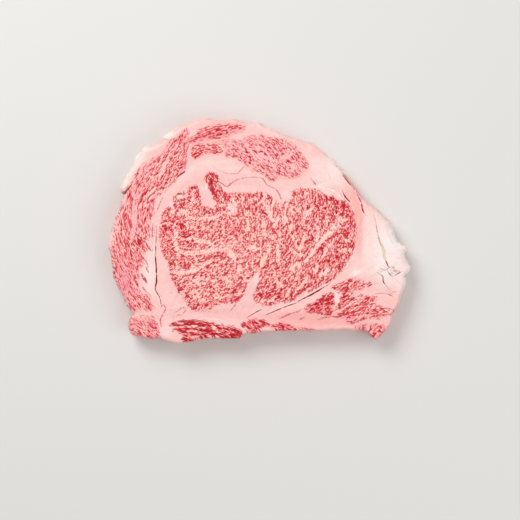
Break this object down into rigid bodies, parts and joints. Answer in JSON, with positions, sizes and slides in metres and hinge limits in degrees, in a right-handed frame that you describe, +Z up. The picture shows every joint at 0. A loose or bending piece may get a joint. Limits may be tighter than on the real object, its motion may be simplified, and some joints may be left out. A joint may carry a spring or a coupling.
{
  "type": "beef loin steak",
  "caption": "Raw, heavily marbled beef loin steak: one thick slice with an eye of lean, a cap muscle, broad fat seams and an outer layer of fat, lying flat on its cut face.",
  "frame": {"origin": "middle of the bounding box of the slice, at the lower cut face", "axes": "+Z up through the slice's thickness, +X along its longest extent towards the thick lump of outer fat, +Y towards the fat cover"},
  "size_m": [0.2118, 0.1582, 0.0209],
  "materials": {
    "marbled_beef": "moist raw lean, crimson to rose, broken up by fine creamy pink marbling, with broad seams and a cover of pale pink fat"
  },
  "bodies": {
    "root": {"steak": "marbled_beef"}
  },
  "joints": []
}
